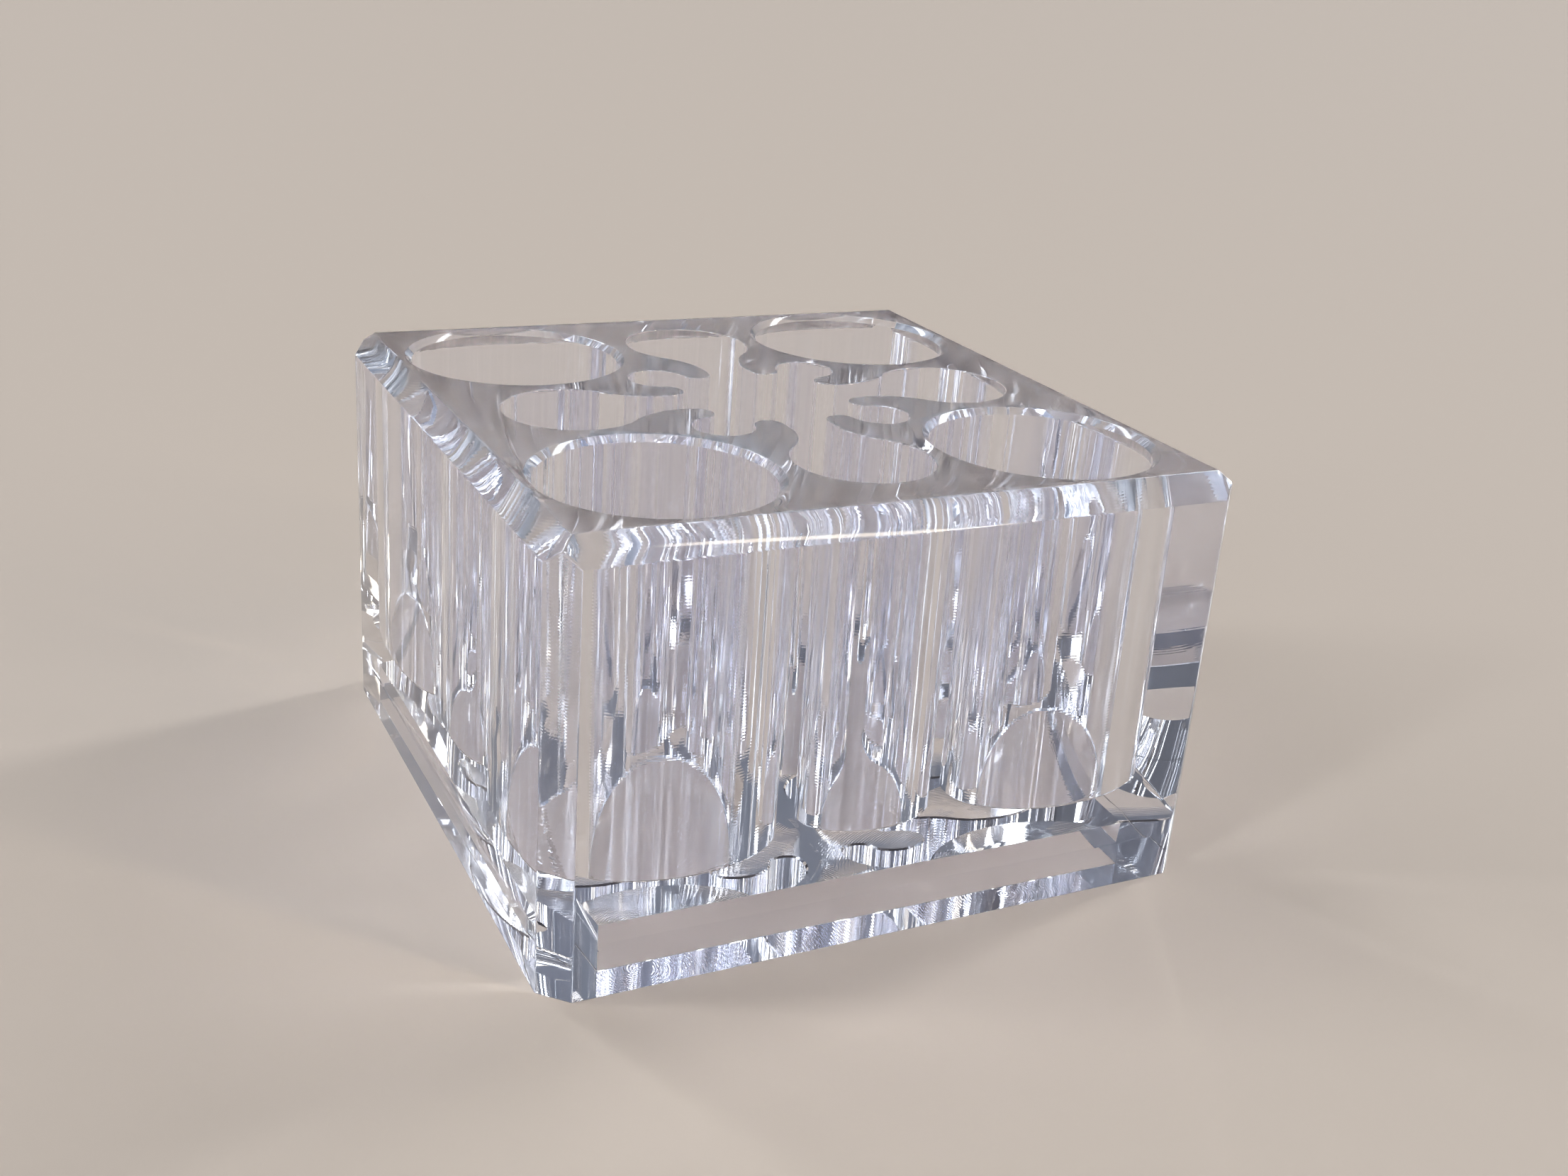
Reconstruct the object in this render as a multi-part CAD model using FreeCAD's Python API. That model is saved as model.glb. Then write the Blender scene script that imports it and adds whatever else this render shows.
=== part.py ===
"""Clear acrylic chip rack: a square block of open wells, bonded to a floor plate on a raised foot rim.

Millimetres, +Z up, origin at the centre of the rim's underside. X and Y run along the sides.
"""

import FreeCAD, Part
import math
import os

from FreeCAD import Vector

# Driving dimensions

chip_diameter = 39.0
chip_clearance = 1.0  # spare room across a corner well, round its stack of chips
mouth_chamfer = 1.2  # countersink at the mouth of a corner well
side_well_diameter = 25.0
side_well_outset = 1.5  # how far the side wells stand outside the corner wells' centre lines
web = 3.3  # wall left between a side well and a corner well's mouth
neck_width = 8.5  # narrowest passage from a side well to the middle
notch_diameter = 11.3  # round pocket in the inner end of each web
notch_mouth = 7.9  # gap between the two horns of a notch
horn_radius = 2.8

well_depth = 62.0
floor_thickness = 8.0
foot_rail_height = 8.8
foot_rail_width = 12.0

mouth_margin = 1.1  # flat left between a corner well's mouth and the top chamfer
top_chamfer = 4.2
corner_chamfer = 4.7  # down each upright corner

# Sizes that follow

corner_well_radius = (chip_diameter + chip_clearance) / 2
mouth_radius = corner_well_radius + mouth_chamfer
side_well_radius = side_well_diameter / 2
notch_radius = notch_diameter / 2
corner_well_reach = math.sqrt((mouth_radius + web + side_well_radius) ** 2 - side_well_outset**2)
side_well_reach = corner_well_reach + side_well_outset
half_side = corner_well_reach + mouth_radius + mouth_margin + top_chamfer
floor_top = foot_rail_height + floor_thickness
height = floor_top + well_depth

middle = Vector(0, 0, 0)
up = Vector(0, 0, 1)
quarter_turns = (0, 90, 180, 270)


def in_diagonal(point):
    """A point in plan, mirrored in the line x = y."""
    return Vector(point.y, point.x, 0)


def toward(start, end, distance):
    """The point at that distance from start, in the direction of end."""
    return start + (end - start).normalize() * distance


def arc(centre, start, end, clockwise=False):
    """The arc in plan from start to end about centre."""
    first = math.atan2(start.y - centre.y, start.x - centre.x)
    last = math.atan2(end.y - centre.y, end.x - centre.x)
    full = 2 * math.pi
    sweep = -((first - last) % full) if clockwise else (last - first) % full
    halfway = Vector(math.cos(first + sweep / 2), math.sin(first + sweep / 2), 0)
    return Part.Arc(start, centre + halfway * (start - centre).Length, end).toShape()


def prism(corners, bottom, top):
    """An upright prism over a polygon in plan."""
    face = Part.Face(Part.makePolygon(corners + corners[:1]))
    return face.extrude(up * (top - bottom)).translated(up * bottom)


def outer_prism(bottom, top):
    """The rack's outside between two heights: a square with its upright corners chamfered."""
    end = half_side - corner_chamfer
    side = [Vector(half_side, -end, 0), Vector(half_side, end, 0)]
    turned = [Part.Vertex(p).rotated(middle, up, a).Point for a in quarter_turns for p in side]
    return prism(turned, bottom, top)


def chamfered_box():
    """A square box of the rack's size with a chamfer round its top face."""
    box = Part.makeBox(2 * half_side, 2 * half_side, height, Vector(-half_side, -half_side, 0))
    top_edges = [edge for edge in box.Edges if edge.BoundBox.ZMin > height / 2]
    return box.makeChamfer(top_chamfer, top_edges)


def corner_well():
    """The well in the corner +X +Y, with its countersunk mouth."""
    place = Vector(corner_well_reach, corner_well_reach, 0)
    bore = Part.makeCylinder(corner_well_radius, well_depth, place + up * floor_top)
    low = place + up * (height - mouth_chamfer)
    return bore.fuse(Part.makeCone(corner_well_radius, mouth_radius, mouth_chamfer, low))


def curl():
    """Centre and radius of the disc that rounds the web in the corner +X +Y.

    It touches both side wells and leaves half a neck to each axis:
    (reach - c)^2 + c^2 = (well + c - neck)^2, solved for c.
    """
    spare = side_well_radius - neck_width / 2
    half_sum = side_well_reach + spare
    c = half_sum - math.sqrt(half_sum**2 - side_well_reach**2 + spare**2)
    return Vector(c, c, 0), c - neck_width / 2


def middle_outline():
    """The outline of the middle well: side wells, necks, and a notch between two horns in each corner."""
    well_centre = Vector(side_well_reach, 0, 0)
    curl_centre, curl_radius = curl()

    # horns lie inside the curl, half a mouth from the diagonal; the notch touches both
    inward = Vector(-1, -1, 0).normalize()
    sideways = Vector(1, -1, 0).normalize()
    off_diagonal = notch_mouth / 2 + horn_radius
    to_horns = math.sqrt((curl_radius - horn_radius) ** 2 - off_diagonal**2)
    horns_to_notch = math.sqrt((notch_radius + horn_radius) ** 2 - off_diagonal**2)
    horn_centre = curl_centre + inward * to_horns + sideways * off_diagonal
    notch_centre = curl_centre + inward * (to_horns - horns_to_notch)

    # where one arc runs into the next
    well_end = toward(well_centre, curl_centre, side_well_radius)
    well_start = Vector(well_end.x, -well_end.y, 0)
    curl_end = toward(curl_centre, horn_centre, curl_radius)
    horn_end = toward(horn_centre, notch_centre, horn_radius)

    quarter = [
        arc(well_centre, well_start, well_end),
        arc(curl_centre, well_end, curl_end, clockwise=True),
        arc(horn_centre, curl_end, horn_end, clockwise=True),
        arc(notch_centre, horn_end, in_diagonal(horn_end)),
        arc(in_diagonal(horn_centre), in_diagonal(horn_end), in_diagonal(curl_end), clockwise=True),
        arc(curl_centre, in_diagonal(curl_end), in_diagonal(well_end), clockwise=True),
    ]
    return Part.Wire([edge.rotated(middle, up, angle) for angle in quarter_turns for edge in quarter])


def well_block():
    """The tall block, with every well cut right through it."""
    block = outer_prism(floor_top, height).common(chamfered_box())
    middle_well = Part.Face(middle_outline()).extrude(up * well_depth).translated(up * floor_top)
    corner_wells = [corner_well().rotated(middle, up, angle) for angle in quarter_turns]
    return block.cut([middle_well] + corner_wells)


def floor_plate():
    """The sheet that closes every well from below."""
    return outer_prism(foot_rail_height, floor_top)


def foot_rail(angle):
    """One mitred rail of the rim, turned from the front (-Y) side."""
    inner = half_side - foot_rail_width
    hollow = Part.makeBox(2 * inner, 2 * inner, foot_rail_height, Vector(-inner, -inner, 0))
    between_mitres = [middle, Vector(-half_side, -half_side, 0), Vector(half_side, -half_side, 0)]
    quarter = prism(between_mitres, 0, foot_rail_height)
    rail = outer_prism(0, foot_rail_height).cut(hollow).common(quarter)
    return rail.rotated(middle, up, angle)


def save(name, shape):
    """Writes one piece as parts/NAME.step."""
    piece = shape.removeSplitter()
    if len(piece.Solids) != 1 or not piece.isValid():
        raise ValueError(f"{name} is not one valid solid")
    piece.Solids[0].exportStep(f"parts/{name}.step")
    size = piece.BoundBox
    print(f"{name}: {size.XLength:.2f} x {size.YLength:.2f} x {size.ZLength:.2f} mm, {piece.Volume:.0f} mm3")


os.makedirs("parts", exist_ok=True)
save("well_block", well_block())
save("floor_plate", floor_plate())
for side, angle in zip(("front", "right", "back", "left"), quarter_turns):
    save(f"foot_rail_{side}", foot_rail(angle))
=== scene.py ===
# Clear acrylic chip rack: a square block of open wells, cemented to a plate on a mitred foot rim.
import math

import bmesh
import bpy
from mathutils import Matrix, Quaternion, Vector


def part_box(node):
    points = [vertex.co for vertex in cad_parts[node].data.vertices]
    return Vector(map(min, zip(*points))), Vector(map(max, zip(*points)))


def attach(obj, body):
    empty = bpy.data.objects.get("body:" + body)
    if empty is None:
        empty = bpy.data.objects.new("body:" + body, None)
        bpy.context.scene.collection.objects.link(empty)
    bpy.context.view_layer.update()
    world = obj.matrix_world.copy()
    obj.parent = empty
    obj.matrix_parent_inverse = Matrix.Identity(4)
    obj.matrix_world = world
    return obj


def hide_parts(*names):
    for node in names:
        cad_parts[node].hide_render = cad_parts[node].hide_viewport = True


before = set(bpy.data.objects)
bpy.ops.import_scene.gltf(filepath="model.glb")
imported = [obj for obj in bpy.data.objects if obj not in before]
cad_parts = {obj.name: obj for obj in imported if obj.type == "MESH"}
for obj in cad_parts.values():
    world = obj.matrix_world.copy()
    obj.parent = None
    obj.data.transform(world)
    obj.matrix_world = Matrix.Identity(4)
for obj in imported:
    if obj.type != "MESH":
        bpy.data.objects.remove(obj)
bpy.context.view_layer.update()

mm = 0.001
closeTo = 0.01 * mm  # how near to a plane counts as lying in it
ridgeAngle = math.radians(30)  # faces that meet at more than this make a ridge
smoothAngle = math.radians(14)  # faces that meet at less than this are shaded as one
overshoot = 1 * mm  # how far the cutter runs past what it cuts
corners = [(1, 1), (-1, 1), (-1, -1), (1, -1)]

# heights and half the width, from the frame
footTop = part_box("foot_rail_front")[1].z
railInside = -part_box("foot_rail_front")[1].y
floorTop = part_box("floor_plate")[1].z
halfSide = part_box("floor_plate")[1].x
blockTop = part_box("well_block")[1].z
print("frame loaded")


# selecting and cutting


def deselectAll():
    bpy.ops.object.select_all(action="DESELECT")


def pick(*pieces):
    deselectAll()
    for piece in pieces:
        piece.select_set(True)
    bpy.context.view_layer.objects.active = pieces[0]


def startEdit(piece):
    pick(piece)
    bpy.ops.object.mode_set(mode="EDIT")


def endEdit():
    bpy.ops.object.mode_set(mode="OBJECT")


def choose(kind, test):
    # in edit mode: selects the points, edges or faces that pass the test, and nothing else
    bpy.ops.mesh.select_mode(type=kind)
    bpy.ops.mesh.select_all(action="DESELECT")
    mesh = bpy.context.object.data
    shape = bmesh.from_edit_mesh(mesh)
    for part in {"VERT": shape.verts, "EDGE": shape.edges, "FACE": shape.faces}[kind]:
        if test(part):
            part.select_set(True)
    shape.select_flush_mode()
    bmesh.update_edit_mesh(mesh)


def liesAt(part, height):
    # for an edge or a face: all its points are at that height
    return all(abs(point.co.z - height) < closeTo for point in part.verts)


def isCorner(edge):
    # a ridge between two faces, not a hollow or a seam in a flat one
    return len(edge.link_faces) == 2 and edge.calc_face_angle_signed(0) > ridgeAngle


def sliceOff(place, outward):
    # drops what is outside the plane and closes the cut
    bpy.ops.mesh.select_all(action="SELECT")
    bpy.ops.mesh.bisect(plane_co=place, plane_no=outward, clear_outer=True, use_fill=True)


def addBox(name, low, high):
    # a cube pulled out to its size face by face
    deselectAll()
    bpy.ops.mesh.primitive_cube_add(size=2 * mm, location=(0, 0, 0))
    piece = bpy.context.object
    piece.name = piece.data.name = name
    startEdit(piece)
    for axis in range(3):
        for side, reach in ((-1, low[axis]), (1, high[axis])):
            choose("FACE", lambda face: face.normal[axis] * side > 0.9)
            step = [0, 0, 0]
            step[axis] = reach - side * mm
            bpy.ops.transform.translate(value=step)
    endEdit()
    return piece


def sliceCorners(width):
    # in edit mode: chamfers the rack's upright corners
    for x, y in corners:
        reach = halfSide - width / 2
        sliceOff((x * reach, y * reach, 0), (x, y, 0))


def breakEdges(width, test):
    # in edit mode: takes the sharpness off the ridges that pass the test
    choose("EDGE", lambda edge: isCorner(edge) and test(edge))
    bpy.ops.mesh.bevel(offset=width, segments=2, profile=0.5, affect="EDGES", clamp_overlap=False)


def finishShape(piece):
    pick(piece)
    bpy.ops.object.shade_smooth_by_angle(angle=smoothAngle)
    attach(piece, "root")


# outlines of the wells

outside = {
    "topChamfer": 4.2 * mm,
    "cornerChamfer": 4.7 * mm,  # down each upright corner
    "edgeBreak": 0.3 * mm,  # what the polishing wheel takes off a sharp edge
}

cornerWells = {
    "radius": 20.0 * mm,
    "mouthChamfer": 1.2 * mm,
    "mouthMargin": 1.1 * mm,  # flat between a mouth and the top chamfer
    "facets": 288,
    "rimBreak": 0.18 * mm,
}

middleWell = {
    "sideWellRadius": 12.5 * mm,
    "sideWellOutset": 1.5 * mm,  # how far outside the corner wells' centre lines
    "neckWidth": 8.5 * mm,
    "notchRadius": 5.65 * mm,
    "notchMouth": 7.9 * mm,
    "hornRadius": 2.8 * mm,
    "facet": 0.35 * mm,  # length of the flats that make an arc
}

cementBead = 0.35 * mm  # what squeezes out round the foot of every well

wellsWithin = halfSide - outside["topChamfer"] - 0.5 * mm  # no well reaches this far out
mouthRadius = cornerWells["radius"] + cornerWells["mouthChamfer"]
cornerReach = halfSide - outside["topChamfer"] - cornerWells["mouthMargin"] - mouthRadius
sideReach = cornerReach + middleWell["sideWellOutset"]


def middleArcs():
    # a quarter of the outline, from side well to side well: centre, radius and sweep of each arc
    wellRadius = middleWell["sideWellRadius"]
    hornRadius = middleWell["hornRadius"]
    notchRadius = middleWell["notchRadius"]
    halfNeck = middleWell["neckWidth"] / 2
    spare = wellRadius - halfNeck
    halfSum = sideReach + spare
    reach = halfSum - math.sqrt(halfSum**2 - sideReach**2 + spare**2)
    curlRadius = reach - halfNeck

    offDiagonal = middleWell["notchMouth"] / 2 + hornRadius
    toHorns = math.sqrt((curlRadius - hornRadius) ** 2 - offDiagonal**2)
    hornsToNotch = math.sqrt((notchRadius + hornRadius) ** 2 - offDiagonal**2)
    sideWell = Vector((sideReach, 0, 0))
    curl = Vector((reach, reach, 0))
    inward = Vector((-1, -1, 0)).normalized()
    horn = curl + inward * toHorns + Vector((1, -1, 0)).normalized() * offDiagonal
    notch = curl + inward * (toHorns - hornsToNotch)

    def turn(centre, first, last, clockwise):
        start = math.atan2(first.y - centre.y, first.x - centre.x)
        end = math.atan2(last.y - centre.y, last.x - centre.x)
        full = 2 * math.pi
        return -((start - end) % full) if clockwise else (end - start) % full

    def mirrored(point):
        return Vector((point.y, point.x, 0))

    wellEnd = sideWell + (curl - sideWell).normalized() * wellRadius
    wellStart = Vector((wellEnd.x, -wellEnd.y, 0))
    curlEnd = curl + (horn - curl).normalized() * curlRadius
    hornEnd = horn + (notch - horn).normalized() * hornRadius
    alongCurl = turn(curl, wellEnd, curlEnd, True)
    roundHorn = turn(horn, curlEnd, hornEnd, True)
    arcs = [
        (sideWell, wellRadius, turn(sideWell, wellStart, wellEnd, False)),
        (curl, curlRadius, alongCurl),
        (horn, hornRadius, roundHorn),
        (notch, notchRadius, turn(notch, hornEnd, mirrored(hornEnd), False)),
        (mirrored(horn), hornRadius, roundHorn),
        (curl, curlRadius, alongCurl),
    ]
    return wellStart, arcs


def drawWells(name, height):
    # the outlines of all the wells, as loops of edges at one height
    start, arcs = middleArcs()
    deselectAll()
    bpy.ops.mesh.primitive_plane_add(size=mm, location=(0, 0, 0))
    drawing = bpy.context.object
    drawing.name = drawing.data.name = name
    startEdit(drawing)
    bpy.ops.mesh.select_mode(type="VERT")
    bpy.ops.mesh.select_all(action="SELECT")
    bpy.ops.mesh.merge(type="CENTER")
    bpy.ops.transform.translate(value=(start.x, start.y, height))
    for quarter in range(4):
        turned = Quaternion((0, 0, 1), math.radians(90 * quarter))
        for centre, radius, sweep in arcs:
            middle = turned @ centre
            steps = max(3, math.ceil(abs(sweep) * radius / middleWell["facet"]))
            bpy.ops.mesh.spin(
                steps=steps, angle=-sweep, center=(middle.x, middle.y, height), axis=(0, 0, 1)
            )
    bpy.ops.mesh.select_all(action="SELECT")
    bpy.ops.mesh.remove_doubles(threshold=0.001 * mm)
    for x, y in corners:
        bpy.ops.mesh.primitive_circle_add(
            vertices=cornerWells["facets"],
            radius=cornerWells["radius"],
            location=(x * cornerReach, y * cornerReach, height),
        )
    endEdit()
    return drawing


def inCornerWell(point, x, y):
    away = math.hypot(point.x - x * cornerReach, point.y - y * cornerReach)
    return away < cornerWells["radius"] + closeTo


def fillWells(height):
    # in edit mode: closes each outline at that height with a face
    def isLevel(point):
        return abs(point.co.z - height) < closeTo

    for x, y in corners:
        choose("VERT", lambda point: isLevel(point) and inCornerWell(point.co, x, y))
        bpy.ops.mesh.edge_face_add()

    def isMiddle(point):
        if not isLevel(point) or max(abs(point.co.x), abs(point.co.y)) > wellsWithin:
            return False
        return not any(inCornerWell(point.co, x, y) for x, y in corners)

    choose("VERT", isMiddle)
    bpy.ops.mesh.edge_face_add()


# the block of wells


def isRim(edge):
    point = edge.verts[0].co
    return liesAt(edge, blockTop) and max(abs(point.x), abs(point.y)) < wellsWithin


block = addBox("wellBlock", (-halfSide, -halfSide, floorTop), (halfSide, halfSide, blockTop))
startEdit(block)
choose("EDGE", lambda edge: liesAt(edge, blockTop))
bpy.ops.mesh.bevel(offset=outside["topChamfer"], segments=1, affect="EDGES")
sliceCorners(outside["cornerChamfer"])
breakEdges(outside["edgeBreak"], lambda edge: not liesAt(edge, floorTop))
endEdit()

wellFoot = floorTop + cementBead
mouthFoot = blockTop - cornerWells["mouthChamfer"]
toTop = {"value": (0, 0, cornerWells["mouthChamfer"] + overshoot)}
cutter = drawWells("wellCutter", wellFoot)
startEdit(cutter)
fillWells(wellFoot)
bpy.ops.mesh.select_all(action="SELECT")
bpy.ops.mesh.extrude_region_move(TRANSFORM_OT_translate={"value": (0, 0, mouthFoot - wellFoot)})
bpy.ops.mesh.select_all(action="SELECT")
bpy.ops.mesh.normals_make_consistent(inside=False)
choose("FACE", lambda face: face.normal.z < -0.9)
bpy.ops.mesh.inset(thickness=cementBead + overshoot, depth=cementBead + overshoot)


def isMouthFoot(face, x, y):
    return liesAt(face, mouthFoot) and all(inCornerWell(point.co, x, y) for point in face.verts)


# the corner wells flare to their mouths, the middle well goes straight up
wider = (mouthRadius + overshoot) / cornerWells["radius"]
for x, y in corners:
    choose("FACE", lambda face: isMouthFoot(face, x, y))
    bpy.ops.mesh.extrude_region_move(TRANSFORM_OT_translate=toTop)
    mouthCentre = (x * cornerReach, y * cornerReach, blockTop + overshoot)
    bpy.ops.transform.resize(value=(wider, wider, 1), center_override=mouthCentre)
choose("FACE", lambda face: liesAt(face, mouthFoot))
bpy.ops.mesh.extrude_region_move(TRANSFORM_OT_translate=toTop)
bpy.ops.mesh.select_all(action="SELECT")
bpy.ops.mesh.normals_make_consistent(inside=False)
endEdit()

pick(block)
cut = block.modifiers.new("wells", "BOOLEAN")
cut.operation = "DIFFERENCE"
cut.solver = "EXACT"
cut.object = cutter
bpy.ops.object.modifier_apply(modifier=cut.name)
bpy.data.objects.remove(cutter)
startEdit(block)
breakEdges(cornerWells["rimBreak"], isRim)
endEdit()
print("block of wells cut")

# the floor plate, with the outlines of the wells marked on its top

plate = addBox("floorPlate", (-halfSide, -halfSide, footTop), (halfSide, halfSide, floorTop))
startEdit(plate)
sliceCorners(outside["cornerChamfer"])
breakEdges(
    outside["edgeBreak"], lambda edge: not liesAt(edge, footTop) and not liesAt(edge, floorTop)
)
choose("FACE", lambda face: face.normal.z > 0.9)
bpy.ops.mesh.delete(type="ONLY_FACE")
endEdit()
outlines = drawWells("wellOutlines", floorTop)
pick(plate, outlines)
bpy.ops.object.join()
startEdit(plate)
fillWells(floorTop)
choose("EDGE", lambda edge: liesAt(edge, floorTop))
bpy.ops.mesh.fill(use_beauty=True)
choose("FACE", lambda face: liesAt(face, floorTop) and len(face.verts) > 4)
bpy.ops.mesh.inset(thickness=cementBead, depth=0)
# cut along the rails' inner edges, so that only what touches a rail is a joint
for line in ((railInside, 0, 0), (-railInside, 0, 0), (0, railInside, 0), (0, -railInside, 0)):
    choose("FACE", lambda face: liesAt(face, footTop))
    bpy.ops.mesh.bisect(plane_co=line, plane_no=Vector(line).normalized())
bpy.ops.mesh.select_all(action="SELECT")
bpy.ops.mesh.normals_make_consistent(inside=False)
endEdit()
print("floor plate made")

# the foot: one rail with mitred ends, turned to the four sides

footRails = {
    "edgeBreak": 0.1 * mm,  # the edges it stands on are left nearly sharp
}

rail = addBox("footRailFront", (-halfSide, -halfSide, 0), (halfSide, -railInside, footTop))
startEdit(rail)
sliceCorners(outside["cornerChamfer"])
for side in (1, -1):
    sliceOff((0, 0, 0), (side, 1, 0))


def isMitre(face):
    centre = face.calc_center_median()
    return abs(centre.y + abs(centre.x)) < closeTo


def isOpen(edge):
    # on neither a mitre nor the seam under the floor plate
    return not liesAt(edge, footTop) and not any(isMitre(face) for face in edge.link_faces)


breakEdges(outside["edgeBreak"], lambda edge: isOpen(edge) and not liesAt(edge, 0))
breakEdges(footRails["edgeBreak"], lambda edge: isOpen(edge) and liesAt(edge, 0))
endEdit()

rails = {"foot_rail_front": rail}
for turns, side in ((1, "right"), (2, "back"), (3, "left")):
    pick(rail)
    bpy.ops.object.duplicate(linked=False)
    copy = bpy.context.object
    copy.name = copy.data.name = "footRail" + side.capitalize()
    startEdit(copy)
    bpy.ops.mesh.select_all(action="SELECT")
    bpy.ops.transform.rotate(
        value=-math.radians(90 * turns), orient_axis="Z", center_override=(0, 0, 0)
    )
    endEdit()
    rails["foot_rail_" + side] = copy
print("foot rails made")


# materials

acrylicLooks = {
    "tint": (0.935, 0.940, 0.980, 1),  # what each surface lets through
    "refraction": 1.491,
}

# heights of the marks in micrometres, and the roughness of the haze
surfaceMarks = {
    "polishedFace": {"Waves": 0.12, "Haze": 0.008},
    "boredWall": {"Streaks": 4.5, "Rings": 3.5, "Waves": 1.5, "Haze": 0.012},
    "milledFloor": {"Swirls": 6.0, "Waves": 5.0, "Haze": 0.020},
}

# lengths in millimetres
marks = {
    "streakWidth": 0.9,  # of the upright bands that the cutter leaves in a wall
    "ringPitch": 0.55,  # from one feed mark to the next
    "swirlPitch": 0.6,  # from one pass of the cutter over a floor to the next
    "ringPatch": 3.0,  # how far round the wall a run of feed marks shows
    "waveLength": 14.0,
    "hazePatch": 9.0,
}


def addNode(tree, kind, sets=None, **sockets):
    node = tree.nodes.new(kind)
    for name, value in (sets or {}).items():
        setattr(node, name, value)
    for name, value in sockets.items():
        node.inputs[name.replace("_", " ")].default_value = value
    return node


def addMath(tree, operation, first, second=None):
    node = addNode(tree, "ShaderNodeMath", {"operation": operation})
    for socket, value in zip(node.inputs, (first, second)):
        if isinstance(value, bpy.types.NodeSocket):
            tree.links.new(value, socket)
        elif value is not None:
            socket.default_value = value
    return node.outputs[0]


def addNoise(tree, place, length, detail, upright=1.0):
    # noise from -0.5 to 0.5, in patches of a length in millimetres; upright under 1 draws them out
    scale = 1 / (length * mm)
    mapping = addNode(tree, "ShaderNodeMapping", Scale=(scale, scale, scale * upright))
    tree.links.new(place, mapping.inputs["Vector"])
    noise = addNode(tree, "ShaderNodeTexNoise", Scale=1.0, Detail=detail, Roughness=0.5)
    tree.links.new(mapping.outputs["Vector"], noise.inputs["Vector"])
    return addMath(tree, "SUBTRACT", noise.outputs["Fac"], 0.5)


def addRidges(tree, distance, pitch, patches, least):
    # a ridge at every pitch along the distance, stronger and weaker by patches
    swing = addMath(tree, "SINE", addMath(tree, "MULTIPLY", distance, 2 * math.pi / (pitch * mm)))
    return addMath(tree, "MULTIPLY", swing, addMath(tree, "ADD", patches, least))


def makeWorkedSurface():
    # what cutting and polishing leave in acrylic: bands, feed marks, long waves and haze
    group = bpy.data.node_groups.new("workedSurface", "ShaderNodeTree")
    for name in ("Streaks", "Rings", "Swirls", "Waves", "Haze"):
        group.interface.new_socket(name=name, in_out="INPUT", socket_type="NodeSocketFloat")
    for name in ("Height", "Roughness"):
        group.interface.new_socket(name=name, in_out="OUTPUT", socket_type="NodeSocketFloat")
    given = group.nodes.new("NodeGroupInput").outputs
    made = group.nodes.new("NodeGroupOutput").inputs
    place = group.nodes.new("ShaderNodeTexCoord").outputs["Object"]

    upright = group.nodes.new("ShaderNodeSeparateXYZ")
    group.links.new(place, upright.inputs[0])
    # in plan, from the centre of the nearest corner well
    folded = addNode(group, "ShaderNodeVectorMath", {"operation": "ABSOLUTE"})
    flat = addNode(group, "ShaderNodeVectorMath", {"operation": "MULTIPLY"})
    flat.inputs[1].default_value = (1, 1, 0)
    fromWell = addNode(group, "ShaderNodeVectorMath", {"operation": "DISTANCE"})
    fromWell.inputs[1].default_value = (cornerReach, cornerReach, 0)
    group.links.new(place, folded.inputs[0])
    group.links.new(folded.outputs[0], flat.inputs[0])
    group.links.new(flat.outputs[0], fromWell.inputs[0])

    patches = addNoise(group, place, marks["ringPatch"], 3.0, 0.15)
    effects = {
        "Streaks": addNoise(group, place, marks["streakWidth"], 3.0, 0.01),
        "Rings": addRidges(group, upright.outputs["Z"], marks["ringPitch"], patches, 0.25),
        "Swirls": addRidges(group, fromWell.outputs["Value"], marks["swirlPitch"], patches, 0.5),
        "Waves": addNoise(group, place, marks["waveLength"], 1.0),
    }
    height = None
    for name, effect in effects.items():
        part = addMath(group, "MULTIPLY", effect, given[name])
        height = part if height is None else addMath(group, "ADD", height, part)
    group.links.new(height, made["Height"])
    haze = addMath(group, "ADD", addNoise(group, place, marks["hazePatch"], 4.0), 0.5)
    group.links.new(addMath(group, "MULTIPLY", haze, given["Haze"]), made["Roughness"])
    return group


workedSurface = makeWorkedSurface()


def makeAcrylic(name):
    material = bpy.data.materials.new(name)
    material.use_nodes = True
    tree = material.node_tree
    shader = tree.nodes["Principled BSDF"]
    shader.inputs["Base Color"].default_value = acrylicLooks["tint"]
    shader.inputs["IOR"].default_value = acrylicLooks["refraction"]
    shader.inputs["Transmission Weight"].default_value = 1.0
    surface = addNode(tree, "ShaderNodeGroup", {"node_tree": workedSurface}, **surfaceMarks[name])
    bump = addNode(tree, "ShaderNodeBump", Strength=1.0, Distance=0.001 * mm)  # per micrometre
    tree.links.new(surface.outputs["Height"], bump.inputs["Height"])
    tree.links.new(bump.outputs["Normal"], shader.inputs["Normal"])
    tree.links.new(surface.outputs["Roughness"], shader.inputs["Roughness"])
    return material


def makeCement():
    # solvent cement melts the two faces into one, so a joint shows nothing
    material = bpy.data.materials.new("cementedJoint")
    material.use_nodes = True
    tree = material.node_tree
    tree.nodes.remove(tree.nodes["Principled BSDF"])
    clear = addNode(tree, "ShaderNodeBsdfTransparent", Color=(1, 1, 1, 1))
    tree.links.new(clear.outputs[0], tree.nodes["Material Output"].inputs["Surface"])
    return material


polishedFace = makeAcrylic("polishedFace")
boredWall = makeAcrylic("boredWall")
milledFloor = makeAcrylic("milledFloor")
cementedJoint = makeCement()


def paint(piece, *finishes):
    # polished all over, then each finish on the faces that its test picks
    piece.data.materials.append(polishedFace)
    for index, (material, test) in enumerate(finishes, start=1):
        piece.data.materials.append(material)
        for face in piece.data.polygons:
            if test(face):
                face.material_index = index


def isLevelAt(height):
    return lambda face: abs(face.normal.z) > 0.99 and abs(face.center.z - height) < closeTo


def isWellWall(face):
    return max(abs(face.center.x), abs(face.center.y)) < wellsWithin and abs(face.normal.z) < 0.1


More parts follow.
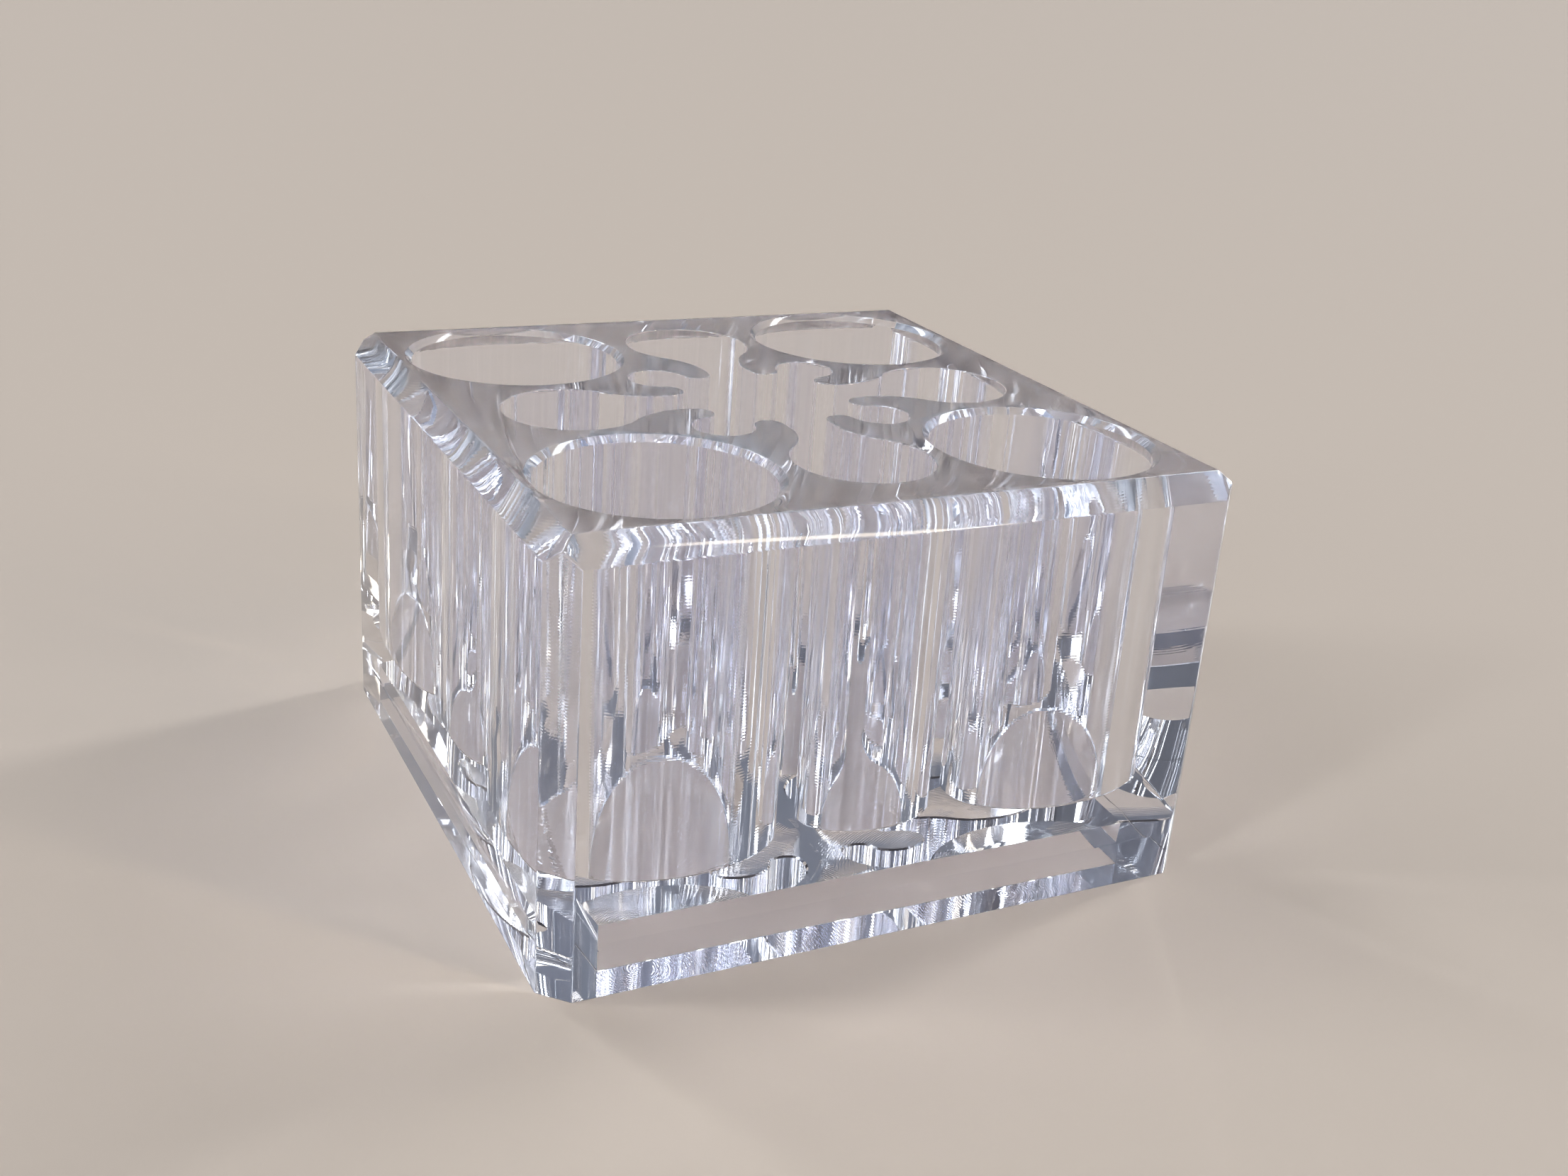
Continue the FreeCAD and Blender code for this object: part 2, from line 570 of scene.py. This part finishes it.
def isWellFloor(face):
    return isLevelAt(floorTop)(face) and len(face.vertices) > 4


def isPlateJoint(face):
    # the whole top but the wells' floors, and what lies on a rail
    onRail = max(abs(face.center.x), abs(face.center.y)) > railInside
    return isLevelAt(floorTop)(face) or (isLevelAt(footTop)(face) and onRail)


def isRailJoint(face):
    turned = abs(abs(face.normal.x) - abs(face.normal.y)) < 0.01 and abs(face.normal.z) < 0.01
    onMitre = abs(abs(face.center.x) - abs(face.center.y)) < closeTo
    return isLevelAt(footTop)(face) or (turned and onMitre)


paint(block, (boredWall, isWellWall), (cementedJoint, isLevelAt(floorTop)))
paint(plate, (cementedJoint, isPlateJoint), (milledFloor, isWellFloor))
for piece in rails.values():
    paint(piece, (cementedJoint, isRailJoint))

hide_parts("well_block")
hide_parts("floor_plate")
for node, piece in rails.items():
    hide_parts(node)
for piece in (block, plate, *rails.values()):
    finishShape(piece)
print("acrylic finished")

# floor, light and camera

studio = {
    "floorColour": (0.56, 0.47, 0.39, 1),
    "floorSize": 24.0,
    "brightness": 0.68,
    "floorGap": 0.02 * mm,  # air between the paper and the foot
    "wallColour": (0.70, 0.63, 0.55, 1),
    "horizon": (0.05, 0.05, 0.06, 1),
    "ceiling": (0.46, 0.52, 0.63, 1),
    "ceilingFrom": (14, 54),  # degrees up, where the ceiling starts to show and where it is bright
    "boxEdge": 1.5,  # degrees over which a soft box fades, either side of its edge
}

# tall soft boxes: azimuth, width, lowest and highest angle in degrees, strength, colour
softBoxes = {
    "leftBox": (-68, 11, 13, 60, 10.0, (0.92, 0.96, 1.0)),
    "backLeftBox": (-22, 7, 38, 64, 17.0, (0.88, 0.94, 1.0)),
    "rightBox": (78, 8, 13, 54, 16.0, (0.92, 0.96, 1.0)),
    "frontRightBox": (138, 5, 13, 56, 15.0, (1.0, 0.91, 0.74)),
    "cameraBox": (205, 10, 38, 64, 16.0, (0.90, 0.95, 1.0)),
    "frontLeftBox": (252, 6, 13, 46, 15.0, (0.84, 0.92, 1.0)),
}

deselectAll()
bpy.ops.mesh.primitive_plane_add(size=studio["floorSize"], location=(0, 0, -studio["floorGap"]))
ground = bpy.context.object
ground.name = "ground"
paper = bpy.data.materials.new("palePaper")
paper.use_nodes = True
paperShader = paper.node_tree.nodes["Principled BSDF"]
paperShader.inputs["Base Color"].default_value = studio["floorColour"]
paperShader.inputs["Roughness"].default_value = 0.9
ground.data.materials.append(paper)

sky = bpy.data.worlds.new("studio")
bpy.context.scene.world = sky
sky.use_nodes = True
skyTree = sky.node_tree
direction = skyTree.nodes.new("ShaderNodeTexCoord").outputs["Generated"]
upward = skyTree.nodes.new("ShaderNodeSeparateXYZ")
skyTree.links.new(direction, upward.inputs[0])
plainSky = addNode(skyTree, "ShaderNodeMix", {"data_type": "RGBA"})
plainSky.inputs["A"].default_value = studio["horizon"]
plainSky.inputs["B"].default_value = studio["ceiling"]
brighter = addNode(skyTree, "ShaderNodeMapRange", {"interpolation_type": "SMOOTHSTEP"})
brighter.inputs["From Min"].default_value = math.sin(math.radians(studio["ceilingFrom"][0]))
brighter.inputs["From Max"].default_value = math.sin(math.radians(studio["ceilingFrom"][1]))
skyTree.links.new(upward.outputs["Z"], brighter.inputs["Value"])
skyTree.links.new(brighter.outputs["Result"], plainSky.inputs["Factor"])
elevation = addMath(skyTree, "ARCSINE", upward.outputs["Z"])
azimuth = addMath(skyTree, "ARCTAN2", upward.outputs["X"], upward.outputs["Y"])


def within(angle, centre, width):
    # 1 inside the span and 0 outside it, with soft edges
    off = addMath(skyTree, "SUBTRACT", angle, math.radians(centre))
    wrapped = addNode(skyTree, "ShaderNodeMath", {"operation": "WRAP"})
    skyTree.links.new(off, wrapped.inputs[0])
    wrapped.inputs[1].default_value = math.pi
    wrapped.inputs[2].default_value = -math.pi
    edge = addNode(skyTree, "ShaderNodeMapRange", {"interpolation_type": "SMOOTHSTEP"})
    edge.inputs["From Min"].default_value = math.radians(width / 2 + studio["boxEdge"])
    edge.inputs["From Max"].default_value = math.radians(width / 2 - studio["boxEdge"])
    skyTree.links.new(addMath(skyTree, "ABSOLUTE", wrapped.outputs[0]), edge.inputs["Value"])
    return edge.outputs["Result"]


total = plainSky.outputs["Result"]
for heading, width, low, high, strength, colour in softBoxes.values():
    across = within(azimuth, heading, width)
    inBox = addMath(skyTree, "MULTIPLY", across, within(elevation, (low + high) / 2, high - low))
    lit = addNode(skyTree, "ShaderNodeVectorMath", {"operation": "MULTIPLY_ADD"})
    skyTree.links.new(addMath(skyTree, "MULTIPLY", inBox, strength), lit.inputs[0])
    lit.inputs[1].default_value = colour
    skyTree.links.new(total, lit.inputs[2])
    total = lit.outputs["Vector"]
# the camera itself sees a plain pale wall there
wall = addNode(skyTree, "ShaderNodeMix", {"data_type": "RGBA"})
wall.inputs["B"].default_value = studio["wallColour"]
skyTree.links.new(total, wall.inputs["A"])
rays = skyTree.nodes.new("ShaderNodeLightPath")
skyTree.links.new(rays.outputs["Is Camera Ray"], wall.inputs["Factor"])
background = skyTree.nodes["Background"]
skyTree.links.new(wall.outputs["Result"], background.inputs["Color"])
background.inputs["Strength"].default_value = studio["brightness"]

view = {
    "lens": 39.68,
    "place": (-0.13900, -0.28111, 0.16775),
    "toward": (0.42636, 0.82248, -0.37649),
    "roll": 4.25,
}
eye = bpy.data.cameras.new("camera")
eye.lens = view["lens"]
eye.clip_start = 0.01
camera = bpy.data.objects.new("camera", eye)
camera.location = view["place"]
camera.rotation_mode = "QUATERNION"
untilted = Vector(view["toward"]).to_track_quat("-Z", "Y")
camera.rotation_quaternion = untilted @ Quaternion((0, 0, 1), math.radians(view["roll"]))
bpy.context.collection.objects.link(camera)
bpy.context.scene.camera = camera

scene = bpy.context.scene
scene.view_settings.view_transform = "Standard"
scene.view_settings.look = "Medium High Contrast"

# light passes many clear walls before it comes out
scene.cycles.max_bounces = 32
scene.cycles.transmission_bounces = 32
scene.cycles.glossy_bounces = 16
scene.cycles.transparent_max_bounces = 64
scene.cycles.diffuse_bounces = 6
scene.cycles.blur_glossy = 0.0
print("studio set")
